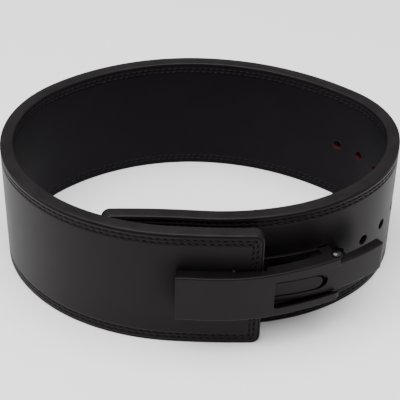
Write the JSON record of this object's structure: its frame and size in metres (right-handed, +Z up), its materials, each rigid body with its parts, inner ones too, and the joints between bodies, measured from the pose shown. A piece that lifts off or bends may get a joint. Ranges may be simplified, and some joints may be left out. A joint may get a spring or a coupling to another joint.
{
  "type": "weightlifting belt",
  "caption": "Thick single-layer leather weightlifting belt standing on its edge, closed round an open waist hollow by a hooked lever buckle at the front.",
  "frame": {"origin": "centre of the bounding box's bottom face, in the plane of the strap's lower edge", "axes": "+X to the right along the front of the belt, which is the longest extent; -Y out of the front, through the lever; +Z up across the strap's height, which is the shortest extent"},
  "size_m": [0.308, 0.2508, 0.1016],
  "materials": {
    "black_leather": "smooth satin outside, matter inside, edges dressed",
    "black_steel": "satin black",
    "bright_steel": "polished"
  },
  "bodies": {
    "root": {"strap": "black_leather", "base_rail": "black_steel", "slide_block": "black_steel", "rail_post_left": "black_steel", "rail_post_right": "black_steel", "lever": "black_steel", "pivot_pin": "black_steel", "claw": "black_steel", "claw_rivet_top": "bright_steel", "claw_rivet_bottom": "bright_steel"}
  },
  "joints": []
}
